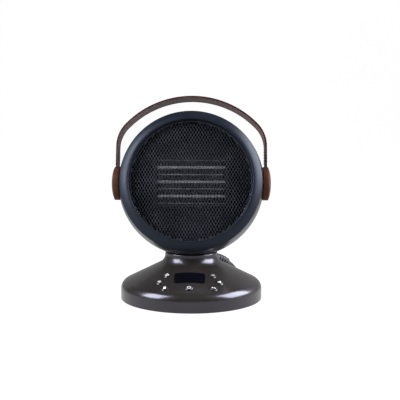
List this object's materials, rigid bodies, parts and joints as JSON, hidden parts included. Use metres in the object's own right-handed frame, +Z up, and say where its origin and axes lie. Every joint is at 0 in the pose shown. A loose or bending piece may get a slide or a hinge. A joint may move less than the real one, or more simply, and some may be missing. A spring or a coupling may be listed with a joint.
{
  "type": "ceramic space heater",
  "caption": "Tabletop ceramic fan heater with a round mesh-fronted head that swings on a flared base, strap handle and mains cord.",
  "frame": {"origin": "centre of the base on the surface it stands on", "axes": "+Z up through the swivel, -Y towards the front grille, +X to the right as the front is faced"},
  "size_m": [0.212, 0.2966, 0.2721],
  "materials": {
    "gunmetal_gloss": "glossy lacquered gunmetal with a fine metallic flake",
    "midnight_satin": "satin blue-black moulded plastic",
    "dark_mesh": "black painted perforated sheet",
    "black_plastic": "matt moulded",
    "black_gloss": "polished black window",
    "black_rubber": "matt",
    "cord_rubber": "satin cord sheath",
    "tie_fabric": "woven hook-and-loop tie",
    "steel": "zinc-plated",
    "aluminium": "bare rolled",
    "brass": "bare",
    "white_nylon": "natural nylon",
    "green_board": "solder-masked board",
    "blue_plastic": "moulded relay case",
    "filter_foam": "open foam",
    "red_wire": "silicone insulation",
    "brown_leather": "semi-gloss brown leather"
  },
  "bodies": {
    "base": {"base_cover": "gunmetal_gloss", "base_bottom": "black_plastic", "rubber_feet": "black_rubber", "base_screws": "steel", "display_window": "black_gloss", "display_module": "black_plastic", "control_board": "green_board", "tact_switches": "black_plastic", "power_board": "green_board", "power_relays": "blue_plastic", "tilt_switch": "white_nylon", "swing_motor": "steel", "swivel_bearing": "white_nylon", "thrust_washer": "steel", "cord_clamp": "black_plastic", "inner_lead": "black_rubber", "strain_relief": "black_rubber", "power_cord": "cord_rubber", "cord_coil": "cord_rubber", "cord_tie": "tie_fabric", "cord_tail": "cord_rubber", "plug_body": "cord_rubber", "plug_blades": "brass"},
    "head": {"head_shell": "gunmetal_gloss", "front_bezel": "midnight_satin", "front_grille": "dark_mesh", "rear_grille": "gunmetal_gloss", "dust_filter": "filter_foam", "heater_baffle": "black_plastic", "baffle_screws": "steel", "heater_frame": "black_plastic", "heater_bars": "aluminium", "heater_fins": "aluminium", "heater_plates": "aluminium", "heater_terminals": "brass", "thermal_cutoffs": "white_nylon", "fan_shroud": "black_plastic", "motor_bracket": "black_plastic", "fan_motor": "steel", "pivot_bushes": "white_nylon", "swivel_post": "black_plastic", "swivel_collar": "black_plastic", "swivel_screws": "steel", "retaining_ring": "steel", "head_gear": "white_nylon", "head_wiring": "red_wire"},
    "fan": {"fan_impeller": "black_plastic", "fan_shaft": "steel"},
    "pinion": {"swing_pinion": "white_nylon"},
    "handle": {"handle_strap": "brown_leather", "handle_pad_left": "brown_leather", "handle_pad_right": "brown_leather", "handle_pins": "steel"},
    "button_power": {"button_power": "gunmetal_gloss"},
    "button_timer": {"button_timer": "gunmetal_gloss"},
    "button_heat": {"button_heat": "gunmetal_gloss"},
    "button_lock": {"button_lock": "gunmetal_gloss"},
    "button_mode": {"button_mode": "gunmetal_gloss"},
    "button_fan": {"button_fan": "gunmetal_gloss"},
    "button_swing": {"button_swing": "gunmetal_gloss"}
  },
  "joints": [
    {"name": "head_swivel", "type": "hinge", "parent": "base", "child": "head", "pos_m": [0, 0, 0.0555], "axis": [0, 0, 1], "range_deg": [-35, 35]},
    {"name": "pinion_turn", "type": "hinge", "parent": "base", "child": "pinion", "pos_m": [-0.03, 0, 0.0385], "axis": [0, 0, 1], "range_deg": [-145, 145]},
    {"name": "fan_spin", "type": "hinge", "parent": "head", "child": "fan", "pos_m": [0, 0, 0.154], "axis": [0, -0.9724, 0.2334], "continuous": true},
    {"name": "handle_pivot", "type": "hinge", "parent": "head", "child": "handle", "pos_m": [0, 0, 0.154], "axis": [1, 0, 0], "range_deg": [-100, 60]},
    {"name": "press_power", "type": "slide", "parent": "base", "child": "button_power", "axis": [0, 0.4473, -0.8944], "range_m": [0, 0.0007], "stiffness_N_per_m": 500, "springref_m": -0.0004},
    {"name": "press_timer", "type": "slide", "parent": "base", "child": "button_timer", "axis": [0.2195, 0.3897, -0.8944], "range_m": [0, 0.0007], "stiffness_N_per_m": 500, "springref_m": -0.0004},
    {"name": "press_heat", "type": "slide", "parent": "base", "child": "button_heat", "axis": [0.2337, 0.3814, -0.8944], "range_m": [0, 0.0007], "stiffness_N_per_m": 500, "springref_m": -0.0004},
    {"name": "press_lock", "type": "slide", "parent": "base", "child": "button_lock", "axis": [0.1666, 0.4151, -0.8944], "range_m": [0, 0.0007], "stiffness_N_per_m": 500, "springref_m": -0.0004},
    {"name": "press_mode", "type": "slide", "parent": "base", "child": "button_mode", "axis": [-0.2195, 0.3897, -0.8944], "range_m": [0, 0.0007], "stiffness_N_per_m": 500, "springref_m": -0.0004},
    {"name": "press_fan", "type": "slide", "parent": "base", "child": "button_fan", "axis": [-0.2337, 0.3814, -0.8944], "range_m": [0, 0.0007], "stiffness_N_per_m": 500, "springref_m": -0.0004},
    {"name": "press_swing", "type": "slide", "parent": "base", "child": "button_swing", "axis": [-0.1666, 0.4151, -0.8944], "range_m": [0, 0.0007], "stiffness_N_per_m": 500, "springref_m": -0.0004}
  ],
  "couplings": [
    {"joint": "pinion_turn", "follows": "head_swivel", "ratio": -4}
  ]
}
